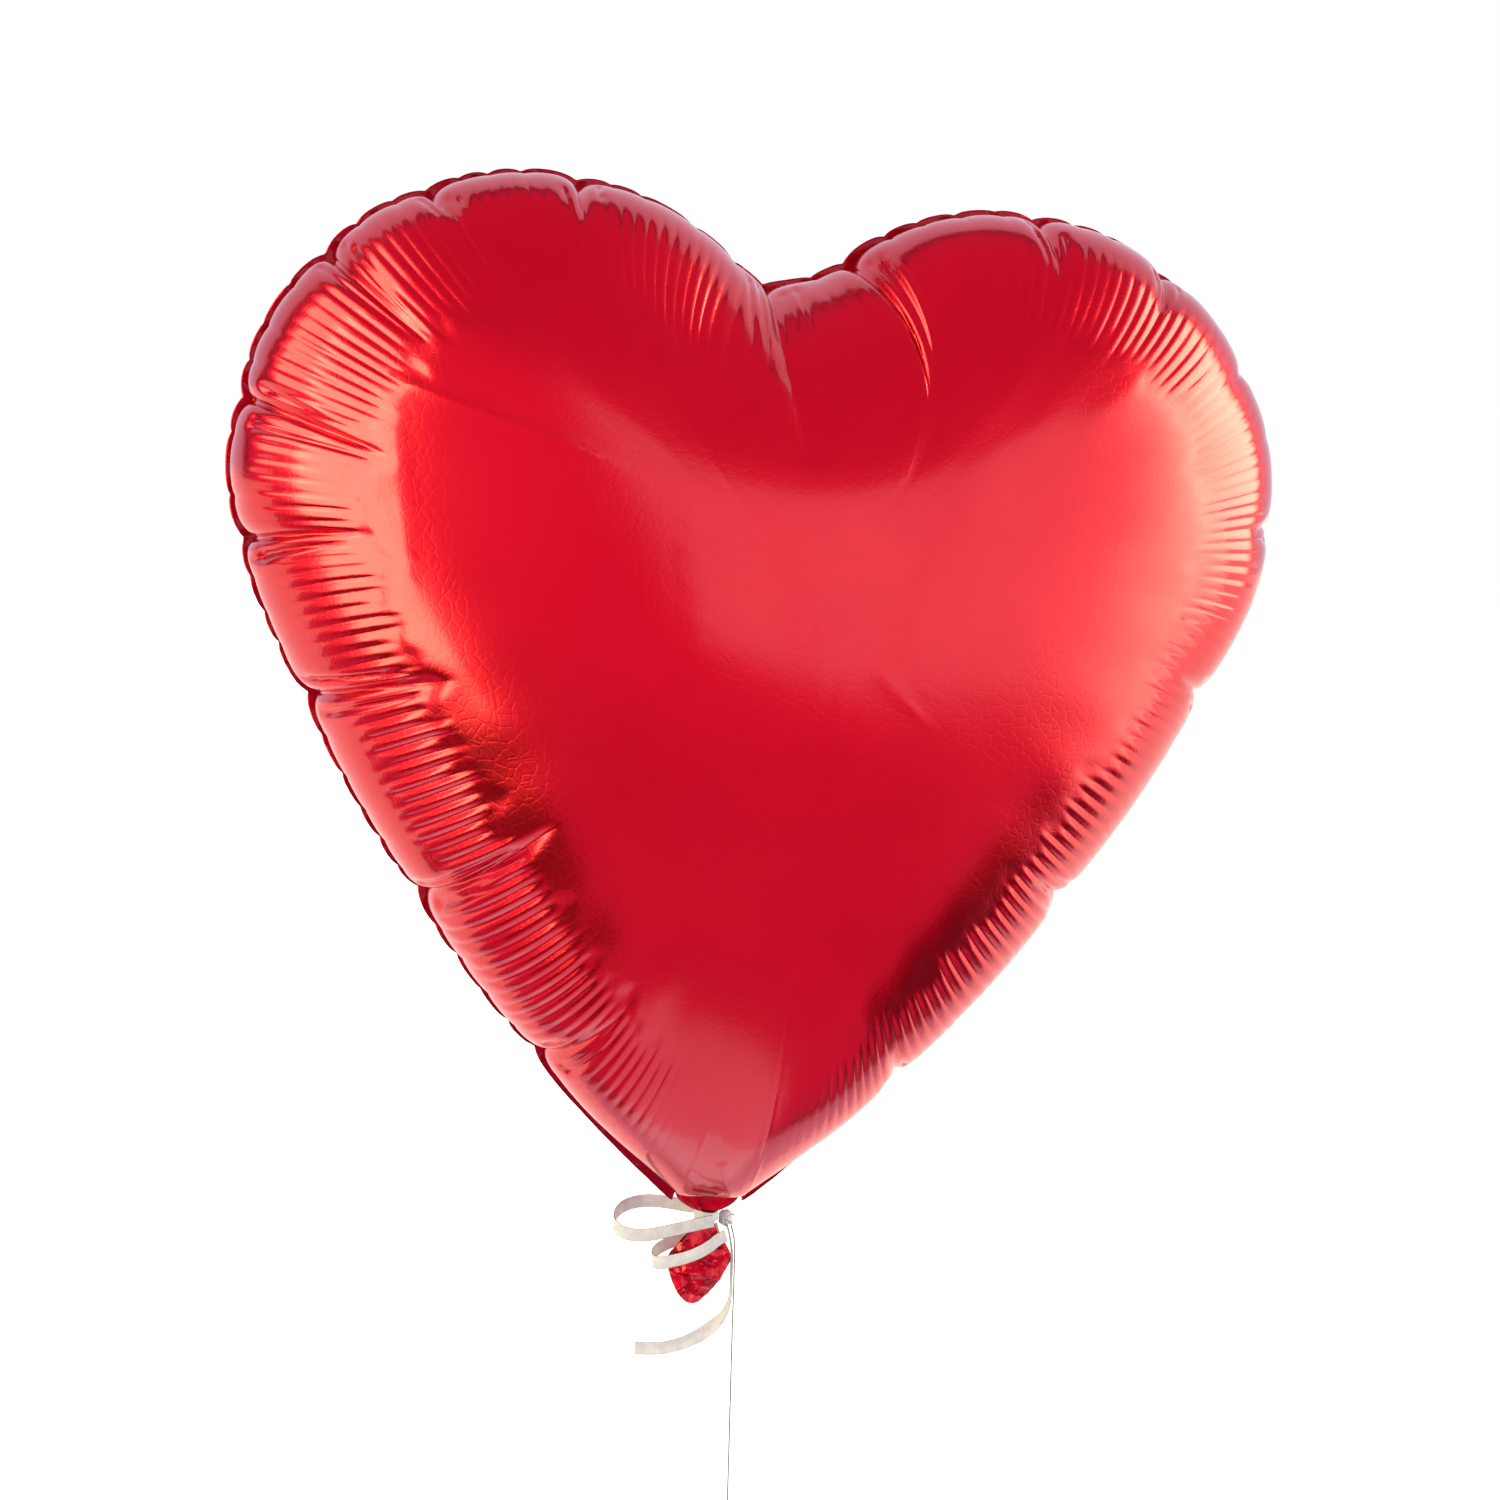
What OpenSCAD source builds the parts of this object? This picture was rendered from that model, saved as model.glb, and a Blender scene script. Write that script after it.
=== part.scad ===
// Heart-shaped foil balloon, filled and tied. Two bulged film panels meet at a flat heat-sealed
// flange, a clear self-sealing valve lies inside, and the neck is gathered and tied with flat
// curling ribbon. Below the tie hang the tail, a short curled end and a long tether with a loop.
// The origin is at the middle of the tie. +Z runs up the heart, the front faces -Y, +X is right.

/* [Heart] */
// Radius of each of the two round lobes
lobe_r = 100; // [95:1:104]
// Distance of each lobe's centre from the middle of the heart
lobe_x = 83.5; // [80:0.5:86]
// Height of the lobes' centres above the tie
lobe_z = 267; // [255:1:280]
// Radius of the long curve of each side
side_r = 630; // [500:10:1200]
// Radius of the notch between the lobes
dip_r = 30; // [24:1:40]
// Half of the width of the heart's lower end
tip_half_w = 12.5; // [11:0.5:16]
// Height of the heart's lower end above the tie
tip_z = 8.5; // [8:0.5:12]
// How full of gas the balloon is, 1 for firm
fullness = 1; // [0.8:0.05:1.1]

/* [Film] */
// Thickness that stands for the film where the panels are flattest
film_t = 0.6; // [0.4:0.1:1]
// Width of the flat seal outside the bulged panels
seal_w = 3.5; // [2:0.5:6]
// Thickness of the flat seal
seal_t = 0.4; // [0.3:0.1:0.6]
// Width of the clear valve's film
valve_w = 22; // [16:1:22]
// Length of the clear valve's film inside the heart
valve_l = 75; // [50:5:100]

/* [Neck and tail] */
// Radius of the gathered neck under the tie
neck_r = 3.6; // [3:0.2:4]
// Number of folds round the gathered neck
neck_folds = 9; // [7:1:12]
// Width of the tail where it is widest
tail_w = 23; // [18:1:24]
// Length of the tail below the tie
tail_l = 30.5; // [26:0.5:34]
// Depth of the tail's crumples
tail_crumple = 2.2; // [1:0.2:2.4]

/* [Ribbon] */
// Width of the flat ribbon
ribbon_w = 4.8; // [4:0.2:5]
// Thickness that stands for the flat ribbon
ribbon_t = 0.4; // [0.3:0.1:0.5]
// Radius of the knot beside the neck
knot_r = 2.5; // [2:0.1:2.6]

/* [Hidden] */

foil_red = [0.78, 0.02, 0.08];
seal_red = [0.55, 0.01, 0.05];
clear_film = [0.85, 0.9, 0.95, 0.4];
ribbon_white = [0.96, 0.96, 0.98];

// Steps along the outline's side, lobe and notch, and from the rim to the middle
side_steps = 20;
lobe_steps = 24;
dip_steps = 5;
rings = 12;

// Centres and end angles of the outline's arcs. Each side's arc is tangent to its lobe.
tip_c = [tip_half_w, tip_z];
lobe_c = [lobe_x, lobe_z];
tip_far = norm(tip_c - lobe_c);
side_lean = acos((lobe_r * lobe_r - tip_far * tip_far - 2 * side_r * lobe_r)
    / (2 * side_r * tip_far));
side_dir = atan2(tip_c.y - lobe_c.y, tip_c.x - lobe_c.x) - side_lean;
side_c = tip_c + side_r * [cos(side_dir), sin(side_dir)];
side_start = atan2(tip_c.y - side_c.y, tip_c.x - side_c.x);
side_end = atan2(lobe_c.y - side_c.y, lobe_c.x - side_c.x);
dip_c = [0, lobe_z + sqrt((lobe_r + dip_r) * (lobe_r + dip_r) - lobe_x * lobe_x)];
lobe_end = atan2(dip_c.y - lobe_c.y, dip_c.x - lobe_c.x);
dip_start = atan2(lobe_c.y - dip_c.y, lobe_c.x - dip_c.x);

// The middle that the panels' rings shrink to, and the inner wall's share of the outer wall's size
middle = [0, 0.88 * lobe_z];
inner_share = 1 - film_t / 100;

// How the film's height follows the width of the heart around a point
near_power = 0.43;
height_share = 0.92 * fullness;
// Loss of height at the lower end, and the distance over which it fades
tip_loss = 0.55;
tip_fade = 22;
// How far the seal reaches in between the panels
seal_lap = 1;

// Heights of the waist's ends, the tail's top and its bending axis
waist_half = 2.7;
tail_top = -3.7;
// Sideways lean of the tail, from its top to its bottom
tail_lean = -3;
tail_top_half_w = 3;
tail_gap = 0.35;
leaf_t = 0.4;
leaf_rows = 12;
leaf_columns = 18;
wrap_t = 0.8;

// Middle of the knot beside the neck, and of the knot above the hand loop
knot_c = [7.3, 0, -1];
loop_knot_c = [17, 0, -120];
loop_knot_r = 2.2;

// Routes of the ribbon, as points along its middle
upper_loop_route = [[2, 4.4, 0.6], [-2, 5, 0.8], [-7, 5.6, 1.2], [-12, 6.2, 1.8], [-17, 6.8, 2.2],
    [-22, 7, 2.2], [-27, 6.4, 1.4], [-31, 4.4, 0], [-33.5, 1.4, -2], [-34, -2, -4],
    [-32, -5, -5.6], [-28, -7, -6.2], [-23, -7.8, -6], [-18, -7.6, -5.2], [-13, -7, -4.2],
    [-8, -6.2, -3.2], [-3, -5.4, -2.2], [2, -4.4, -1.4]];
lower_loop_route = [[6, 4, -7], [2, 4.8, -8.4], [-3, 5.2, -10], [-8, 5.2, -11.6],
    [-12.5, 4.6, -13.2], [-16.5, 3, -15], [-18.8, 0.6, -16.8], [-18.6, -2.4, -17.8],
    [-16, -4.8, -17.4], [-12, -6, -16.2], [-7.5, -6.4, -14.8], [-3, -6.2, -13],
    [1, -5.6, -10.8], [4.5, -4.8, -8.2], [7.4, -4, -6.9]];
curl_route = [[8.2, 0, -4.4], [9.6, 0, -9], [10.6, 0, -14], [11, 0, -19], [11.2, -0.2, -24],
    [11.4, -0.6, -29], [10.8, -1.2, -34], [8.6, -1.8, -38.6], [5, -2.4, -42.4], [0.8, -3, -45.4],
    [-3.8, -3.6, -47.6], [-8.6, -4, -49.2], [-13.6, -4.2, -50.2], [-18.6, -3.8, -50.6],
    [-23.4, -3, -50.6]];
tether_route = [[9.6, 0, -3.6], [11, 0, -8], [11.8, 0, -14], [12.2, 0, -22], [12.6, 0, -30],
    [13, 0, -40], [13.5, 0, -50], [14, 0, -60], [14.5, 0, -70], [15, 0, -80], [15.5, 0, -90],
    [16, 0, -100], [16.5, 0, -110], [16.9, 0, -118]];
// Direction that the tether's width lies in
tether_wide = [0.2, 1, 0];
hand_loop_route = [[17.6, 0, -122], [19.4, 0, -125], [23, 0, -129.5], [25.8, 0, -134.5],
    [26.8, 0, -140], [25.4, 0, -145.4], [22, 0, -149], [17.6, 0, -150.2], [13.2, 0, -149],
    [9.8, 0, -145.4], [8.4, 0, -140], [9.4, 0, -134.5], [12.4, 0, -129.5], [15.6, 0, -125],
    [16.8, 0, -122]];

// Points of an arc round c, with both ends
function arc(c, r, from, to, steps) =
    [for (i = [0:steps]) let (a = from + (to - from) * i / steps) c + r * [cos(a), sin(a)]];

// A list without its first point
function rest(list) = [for (i = [1:len(list) - 1]) list[i]];

// Right half of the heart's outline, from the middle of its lower end up to the notch,
// moved outward by grow
function half_outline(grow) = concat(
    [[0, tip_z], [tip_half_w / 2, tip_z]],
    arc(side_c, side_r + grow, side_start, side_end, side_steps),
    rest(arc(lobe_c, lobe_r + grow, side_end, lobe_end, lobe_steps)),
    rest(arc(dip_c, dip_r - grow, dip_start, -90, dip_steps)));

// Whole outline, counterclockwise as the front shows it
function outline(grow) =
    let (half = half_outline(grow), last = len(half) - 1)
    concat(half, [for (i = [last - 1:-1:1]) [-half[i].x, half[i].y]]);

function area_hyperbolic_sine(x) = ln(x + sqrt(x * x + 1));

// What the edge from a to b adds at p: [mean distance to the rim, mean of 1 / distance squared],
// both over all directions from p and not yet divided by the full turn
function edge_terms(p, a, b) =
    let (along = (b - a) / norm(b - a), off = (a - p) * [along.y, -along.x],
        off_abs = max(abs(off), 0.000001), s0 = (a - p) * along, s1 = (b - p) * along,
        turn = (atan2(s1, off_abs) - atan2(s0, off_abs)) * PI / 180,
        bow = s1 * off_abs / (s1 * s1 + off_abs * off_abs)
            - s0 * off_abs / (s0 * s0 + off_abs * off_abs))
    sign(off) * [off_abs * (area_hyperbolic_sine(s1 / off_abs)
            - area_hyperbolic_sine(s0 / off_abs)),
        (turn + bow) / (2 * off_abs * off_abs)];

// Height of the bulged film over p: like a gas-filled film, it is steep at the rim and flat
// in the middle, and lower where the heart is narrow
function film_height(p, rim) =
    let (n = len(rim), ones = [for (i = [1:n]) 1],
        sums = ones * [for (i = [0:n - 1]) edge_terms(p, rim[i], rim[(i + 1) % n])])
    height_share * pow(sums[0] / (2 * PI), 1 - near_power) * pow(sums[1], -near_power / 2)
        * (1 - tip_loss * exp(-p.y / tip_fade));

// Rings of one wall of the front panel, from the rim inward, without the last, single point
function wall_rings(rim, share) =
    [for (j = [0:rings - 1], p = rim)
        let (q = middle + (p - middle) * cos(90 * j / rings), in = middle + (q - middle) * share,
            h = j == 0 ? 0 : film_height(q, rim) * share)
        [in.x, -seal_t / 2 - h, in.y]];

// The single point at the middle of one wall
function wall_middle(rim, share) =
    [middle.x, -seal_t / 2 - film_height(middle, rim) * share, middle.y];

module front_shell() {
    rim = outline(0);
    n = len(rim);
    outer_middle = n * rings;
    inner_first = outer_middle + 1;
    inner_middle = inner_first + n * rings;
    polyhedron(
        points = concat(wall_rings(rim, 1), [wall_middle(rim, 1)],
            wall_rings(rim, inner_share), [wall_middle(rim, inner_share)]),
        faces = concat(
            [for (j = [0:rings - 2], i = [0:n - 1])
                let (a = j * n + i, b = j * n + (i + 1) % n, k = inner_first)
                each [[a, a + n, b + n], [a, b + n, b], [a + k, b + n + k, a + n + k],
                    [a + k, b + k, b + n + k]]],
            [for (i = [0:n - 1]) let (a = (rings - 1) * n + i, b = (rings - 1) * n + (i + 1) % n)
                each [[a, outer_middle, b], [a + inner_first, b + inner_first, inner_middle]]],
            [for (i = [0:n - 1]) let (b = (i + 1) % n)
                each [[i, b, b + inner_first], [i, b + inner_first, i + inner_first]]]));
}

// Closed solid through rings of points. Each ring runs counterclockwise as seen from ahead, and
// its first half faces its second half, so that strips of triangles close both ends.
module skin(ring_list) {
    n = len(ring_list[0]);
    last = (len(ring_list) - 1) * n;
    polyhedron(
        points = [for (ring = ring_list, p = ring) p],
        faces = concat(
            [for (k = [0:len(ring_list) - 2], i = [0:n - 1])
                let (a = k * n + i, b = k * n + (i + 1) % n)
                each [[a, a + n, b + n], [a, b + n, b]]],
            [for (i = [0:n / 2 - 2]) let (c = n - 2 - i, d = n - 1 - i)
                each [[i, i + 1, c], [i, c, d], [last + i, last + c, last + i + 1],
                    [last + i, last + d, last + c]]]));
}

// Direction of a route at its point i
function heading(route, i) =
    let (step = route[min(i + 1, len(route) - 1)] - route[max(i - 1, 0)]) step / norm(step);

// A flat ring of ribbon round route point i, wide along the direction wide
function ribbon_ring(route, i, wide) =
    let (ahead = heading(route, i), w = wide - ahead * (wide * ahead), across = w / norm(w),
        through = cross(ahead, across))
    [for (k = [0:7]) let (a = 22.5 + 45 * k)
        route[i] + across * ribbon_w / 2 * cos(a) / cos(22.5)
            + through * ribbon_t / 2 * sin(a) / cos(22.5)];

// Ribbon along a route. Its width turns from the first direction to the last between two points.
module ribbon(route, wide_from, wide_to, turn_from = 0, turn_to = 1) {
    skin([for (i = [0:len(route) - 1])
        let (t = min(max((i - turn_from) / (turn_to - turn_from), 0), 1))
        ribbon_ring(route, i, wide_from * (1 - t) + wide_to * t)]);
}

module front_panel() {
    color(foil_red) front_shell();
}

module rear_panel() {
    color(foil_red) mirror([0, 1, 0]) front_shell();
}

module edge_seal() {
    color(seal_red) rotate([90, 0, 0])
        linear_extrude(seal_t, center = true)
            difference() {
                polygon(outline(seal_w));
                polygon(outline(-seal_lap));
                translate([0, tip_z]) square([2 * tip_half_w - 1, 6], center = true);
            }
}

// One clear film of the valve, on the side of the middle that facing names: -1 front, 1 rear
module valve_film(facing) {
    corner_r = 6;
    top = tip_z + valve_l - corner_r;
    side = valve_w / 2 - corner_r;
    color(clear_film)
        translate([0, facing * seal_t / 4, 0]) rotate([90, 0, 0])
            linear_extrude(seal_t / 2, center = true)
                polygon(concat([[-valve_w / 2, tip_z], [valve_w / 2, tip_z]],
                    arc([side, top], corner_r, 0, 90, 6), arc([-side, top], corner_r, 90, 180, 6)));
}

module valve_front_film() {
    valve_film(-1);
}

module valve_rear_film() {
    valve_film(1);
}

// Film crumpled from the heart's lower end down to the waist
function gather_ring(t) =
    let (half_x = neck_r + (tip_half_w - 1.5 - neck_r) * t * t,
        half_y = neck_r + (0.45 * tip_half_w - neck_r) * t * t,
        fold = 0.14 * sin(180 * min(t * 1.3, 1)))
    [for (k = [0:35]) let (a = 185 + 10 * k, swell = 0.97 + fold * cos(neck_folds * a) - fold)
        [half_x * swell * cos(a), half_y * swell * sin(a),
            waist_half - 1 + (tip_z - waist_half + 1) * t]];

module neck_gather() {
    color(foil_red) {
        cylinder(r = neck_r, h = 2 * waist_half, center = true, $fn = 48);
        skin([for (k = [0:8]) gather_ring(k / 8)]);
    }
}

module ribbon_wrap() {
    color(ribbon_white) rotate_extrude($fn = 48)
        translate([neck_r, -ribbon_w / 2]) square([wrap_t, ribbon_w]);
}

module ribbon_upper_loop() {
    color(ribbon_white) ribbon(upper_loop_route, [0, 0, 1], [0, 0, 1]);
}

module ribbon_knot() {
    color(ribbon_white) translate(knot_c) sphere(r = knot_r, $fn = 48);
}

// One point of the tail's film: u runs across from -1 to 1 and v down from 0 to 1
function leaf_point(facing, u, v, off) =
    let (half_w = tail_top_half_w + (tail_w / 2 - tail_top_half_w) * sin(90 * min(v / 0.5, 1)),
        round_end = sqrt(1 - 0.6 * u * u * v),
        crumple = tail_crumple * min(v * 2, 1) * (1 + cos(400 * u + 160 * v + 60 * facing)) / 2)
    [tail_lean * v + half_w * u, facing * (tail_gap + leaf_t / 2 + crumple) + off,
        tail_top - tail_l * v * round_end];

// A ring round the film at one height, front points left to right and then back points
function leaf_ring(facing, v) = concat(
    [for (i = [0:leaf_columns]) leaf_point(facing, 2 * i / leaf_columns - 1, v, -leaf_t / 2)],
    [for (i = [leaf_columns:-1:0]) leaf_point(facing, 2 * i / leaf_columns - 1, v, leaf_t / 2)]);

module tail_leaf(facing) {
    color(foil_red) skin([for (k = [leaf_rows:-1:0]) leaf_ring(facing, k / leaf_rows)]);
}

module tail_front_leaf() {
    tail_leaf(-1);
}

module tail_rear_leaf() {
    tail_leaf(1);
}

module valve_inlet_sleeve() {
    half_top = 2.6;
    half_low = 5.5;
    low = tail_top - 0.75 * tail_l;
    color(clear_film) rotate([90, 0, 0])
        linear_extrude(2 * tail_gap - 0.1, center = true)
            polygon([[-half_low + tail_lean, low], [half_low + tail_lean, low],
                [half_low - 1, tail_top - 6], [half_top, tail_top], [-half_top, tail_top],
                [-half_low - 1, tail_top - 6]]);
}

module ribbon_lower_loop() {
    color(ribbon_white) ribbon(lower_loop_route, [0, 0, 1], [0, 0, 1]);
}

module ribbon_curl() {
    color(ribbon_white) ribbon(curl_route, [0, 1, 0], [0, 0, 1], 4, 11);
}

module tether_ribbon() {
    color(ribbon_white) ribbon(tether_route, tether_wide, tether_wide);
}

module loop_knot() {
    color(ribbon_white) translate(loop_knot_c) sphere(r = loop_knot_r, $fn = 48);
}

module hand_loop() {
    color(ribbon_white) ribbon(hand_loop_route, [0, 1, 0], [0, 1, 0]);
}

front_panel();
rear_panel();
edge_seal();
valve_front_film();
valve_rear_film();
neck_gather();
ribbon_wrap();
ribbon_upper_loop();
ribbon_knot();
tail_front_leaf();
tail_rear_leaf();
valve_inlet_sleeve();
ribbon_lower_loop();
ribbon_curl();
tether_ribbon();
loop_knot();
hand_loop();
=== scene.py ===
"""Looks of the heart-shaped foil balloon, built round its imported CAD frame.

The two film panels, their seal, the crumpled neck and tail and the flat ribbon are mesh built in
code. Everything is in metres, in the frame's own axes: +Z up the heart, the front faces -Y.
"""

import math

import bpy
import numpy as np
from mathutils import Matrix, Vector, geometry


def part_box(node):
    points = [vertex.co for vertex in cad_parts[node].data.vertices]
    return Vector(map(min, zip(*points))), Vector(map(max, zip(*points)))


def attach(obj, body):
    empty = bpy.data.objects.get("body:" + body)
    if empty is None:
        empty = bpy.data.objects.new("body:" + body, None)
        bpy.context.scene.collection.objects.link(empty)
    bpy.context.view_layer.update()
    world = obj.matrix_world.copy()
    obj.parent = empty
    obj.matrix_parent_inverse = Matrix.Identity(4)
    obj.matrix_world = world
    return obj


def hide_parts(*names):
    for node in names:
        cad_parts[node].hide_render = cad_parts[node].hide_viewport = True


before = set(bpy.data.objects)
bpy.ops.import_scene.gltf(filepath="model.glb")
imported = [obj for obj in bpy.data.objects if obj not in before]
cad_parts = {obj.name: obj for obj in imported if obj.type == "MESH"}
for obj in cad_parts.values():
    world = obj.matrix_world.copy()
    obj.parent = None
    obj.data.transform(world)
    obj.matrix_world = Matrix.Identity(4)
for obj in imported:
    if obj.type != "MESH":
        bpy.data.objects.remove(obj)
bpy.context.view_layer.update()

MM = 0.001
RNG_SEED = 18


# ---------------------------------------------------------------- Camera

CAMERA_YAW = math.radians(-11)
CAMERA_PITCH = math.radians(8.21)
CAMERA_ROLL = math.radians(4.47)
CAMERA_DISTANCE = 1.0
CAMERA_AIM = Vector((0.0029, 0, 0.1727))
SENSOR = 36
LENS = 66.9


def make_camera():
    """A camera a little left of the front and above it, rolled so that the heart leans right."""
    cos_pitch = math.cos(CAMERA_PITCH)
    back = Vector((math.sin(CAMERA_YAW) * cos_pitch, -math.cos(CAMERA_YAW) * cos_pitch,
        math.sin(CAMERA_PITCH)))
    level = (-back).cross(Vector((0, 0, 1))).normalized()
    upright = level.cross(-back)
    right = level * math.cos(CAMERA_ROLL) + upright * math.sin(CAMERA_ROLL)
    up = upright * math.cos(CAMERA_ROLL) - level * math.sin(CAMERA_ROLL)
    data = bpy.data.cameras.new("camera")
    data.lens = LENS
    data.sensor_width = SENSOR
    camera = bpy.data.objects.new("camera", data)
    bpy.context.scene.collection.objects.link(camera)
    turn = Matrix((right, up, back)).transposed().to_4x4()
    camera.matrix_world = Matrix.Translation(CAMERA_AIM + back * CAMERA_DISTANCE) @ turn
    bpy.context.scene.camera = camera


make_camera()


# ---------------------------------------------------------------- Node helpers

def new_material(name):
    """A new node material: (material, its tree, its Principled shader)."""
    material = bpy.data.materials.new(name)
    material.use_nodes = True
    tree = material.node_tree
    return material, tree, tree.nodes["Principled BSDF"]


def add_node(tree, kind, inputs=(), **settings):
    """A new node with its settings. inputs pairs a socket's name or number with a value or link."""
    node = tree.nodes.new(kind)
    for key, value in settings.items():
        setattr(node, key, value)
    for socket, value in inputs:
        if isinstance(value, bpy.types.NodeSocket):
            tree.links.new(value, node.inputs[socket])
        else:
            node.inputs[socket].default_value = value
    return node


def calculate(tree, operation, *values):
    """The result of a Math node."""
    return add_node(tree, "ShaderNodeMath", enumerate(values), operation=operation).outputs[0]


def times(tree, first, second):
    return calculate(tree, "MULTIPLY", first, second)


def larger(tree, first, second):
    return calculate(tree, "MAXIMUM", first, second)


def inverse(tree, value):
    """1 minus a value."""
    return calculate(tree, "SUBTRACT", 1, value)


def remap(tree, value, from_low, from_high, to_low, to_high, smooth=False):
    """The result of a Map Range node."""
    kind = "SMOOTHSTEP" if smooth else "LINEAR"
    return add_node(tree, "ShaderNodeMapRange",
        (("Value", value), ("From Min", from_low), ("From Max", from_high), ("To Min", to_low),
         ("To Max", to_high)), interpolation_type=kind).outputs["Result"]


def object_place(tree):
    """The point of the surface, in metres."""
    return add_node(tree, "ShaderNodeTexCoord").outputs["Object"]


def noise(tree, place, scale, detail=2.0, roughness=0.5):
    return add_node(tree, "ShaderNodeTexNoise",
        (("Vector", place), ("Scale", scale), ("Detail", detail), ("Roughness", roughness))
        ).outputs["Fac"]


def add_bump(tree, shader, height, distance, strength=1.0):
    """Bump on the shader's normal, with the height in units of distance metres."""
    bump = add_node(tree, "ShaderNodeBump",
        (("Height", height), ("Distance", distance), ("Strength", strength)))
    tree.links.new(bump.outputs["Normal"], shader.inputs["Normal"])


def mix_colour(tree, factor, first, second):
    mix = add_node(tree, "ShaderNodeMix", data_type="RGBA")
    for name, value in (("Factor_Float", factor), ("A_Color", first), ("B_Color", second)):
        socket = next(s for s in mix.inputs if s.identifier == name)
        if isinstance(value, bpy.types.NodeSocket):
            tree.links.new(value, socket)
        else:
            socket.default_value = value
    return next(s for s in mix.outputs if s.identifier == "Result_Color")


# ---------------------------------------------------------------- Materials

# Colours of the film's darker and lighter patches, and its tint where it is seen edge-on
FOIL_DEEP = (0.58, 0.018, 0.028, 1)
FOIL_LIGHT = (0.65, 0.03, 0.038, 1)
CRUSHED_DEEP = (0.26, 0.001, 0.012, 1)
CRUSHED_LIGHT = (0.72, 0.03, 0.04, 1)
# Painted shade: the seal's colours are far darker than the panels' film, for the shadow and dark
# reflections along the seam
SEAL_SHADE_DEEP = (0.2, 0, 0.008, 1)
SEAL_SHADE_LIGHT = (0.34, 0.001, 0.012, 1)
EDGE_TINT = (0.95, 0.62, 0.68, 1)
RIBBON_DEEP = (0.72, 0.71, 0.74, 1)
RIBBON_LIGHT = (0.84, 0.84, 0.86, 1)
# Painted shade on the ribbon's cut edges, darkened as if they lay in shadow
CUT_EDGE_SHADE = (0.03, 0.03, 0.035, 1)
CLEAR_DEEP = (0.84, 0.89, 0.93, 1)
CLEAR_LIGHT = (0.93, 0.95, 0.97, 1)

# Scale of the patterns, in cells per metre
FOIL_PATCHES = 14
CRUSHED_PATCHES = 150
FILM_GRAIN = 900
FILM_CRINKLES = 260
RIBBON_PATCHES = 320
VALVE_HAZE = 180
VALVE_LINES = 300
RIBBON_RIBS = 14


def foil_material(name, deep, light, roughness, crinkle, patch=FOIL_PATCHES):
    """Metallised film under a clear coat: a red mirror with patches, a fine grain and crinkles.
    crinkle is the height of the bump in metres."""
    material, tree, shader = new_material(name)
    place = object_place(tree)
    patches = noise(tree, place, patch, 4)
    fine = noise(tree, place, FILM_GRAIN, 3)
    creases = add_node(tree, "ShaderNodeTexVoronoi", (("Vector", place), ("Scale", FILM_CRINKLES)),
        feature="DISTANCE_TO_EDGE").outputs["Distance"]
    colour = mix_colour(tree, remap(tree, patches, 0.3, 0.7, 0, 1), deep, light)
    tree.links.new(colour, shader.inputs["Base Color"])
    shine = calculate(tree, "ADD", remap(tree, patches, 0.3, 0.7, roughness * 0.85, roughness),
        times(tree, fine, roughness * 0.3))
    tree.links.new(shine, shader.inputs["Roughness"])
    height = calculate(tree, "ADD", times(tree, fine, 0.4), remap(tree, creases, 0, 0.12, 0, 0.6))
    add_bump(tree, shader, height, crinkle)
    shader.inputs["Metallic"].default_value = 1
    shader.inputs["Specular Tint"].default_value = EDGE_TINT
    shader.inputs["Coat Weight"].default_value = 0.45
    shader.inputs["Coat Roughness"].default_value = 0.06
    shader.inputs["Coat IOR"].default_value = 1.5
    return material


def ribbon_material():
    """White satin curling ribbon. U runs across its width and shows as fine lengthwise ribs,
    with painted shade darkening the cut edge at both sides."""
    material, tree, shader = new_material("white_satin_ribbon")
    across = add_node(tree, "ShaderNodeSeparateXYZ",
        (("Vector", add_node(tree, "ShaderNodeTexCoord").outputs["UV"]),)).outputs["X"]
    ribs = calculate(tree, "SINE", times(tree, across, 2 * math.pi * RIBBON_RIBS))
    shade = noise(tree, object_place(tree), RIBBON_PATCHES, 3)
    colour = mix_colour(tree, remap(tree, shade, 0.35, 0.65, 0, 1), RIBBON_DEEP, RIBBON_LIGHT)
    from_middle = calculate(tree, "ABSOLUTE", calculate(tree, "SUBTRACT", across, 0.5))
    # Painted shade: the outermost part of the width at both sides is mixed towards near black
    colour = mix_colour(tree, remap(tree, from_middle, 0.46, 0.5, 0, 1), colour, CUT_EDGE_SHADE)
    tree.links.new(colour, shader.inputs["Base Color"])
    tree.links.new(remap(tree, ribs, -1, 1, 0.26, 0.36), shader.inputs["Roughness"])
    add_bump(tree, shader, ribs, 0.02 * MM)
    shader.inputs["Specular IOR Level"].default_value = 0.06
    shader.inputs["Sheen Weight"].default_value = 0.1
    shader.inputs["Anisotropic"].default_value = 0.5
    shader.inputs["Subsurface Weight"].default_value = 0.15
    shader.inputs["Subsurface Scale"].default_value = 0.001
    return material


def clear_film_material():
    """Soft clear film with faint draw lines, seen through its own haze."""
    material, tree, shader = new_material("clear_valve_film")
    place = object_place(tree)
    haze = noise(tree, place, VALVE_HAZE, 4)
    lines = add_node(tree, "ShaderNodeTexWave", (("Vector", place), ("Scale", VALVE_LINES),
        ("Distortion", 2.0)), bands_direction="X").outputs["Fac"]
    colour = mix_colour(tree, haze, CLEAR_DEEP, CLEAR_LIGHT)
    tree.links.new(colour, shader.inputs["Base Color"])
    tree.links.new(remap(tree, haze, 0.3, 0.7, 0.12, 0.3), shader.inputs["Roughness"])
    tree.links.new(remap(tree, haze, 0.3, 0.7, 0.3, 0.45), shader.inputs["Alpha"])
    add_bump(tree, shader, lines, 0.03 * MM)
    return material


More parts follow.
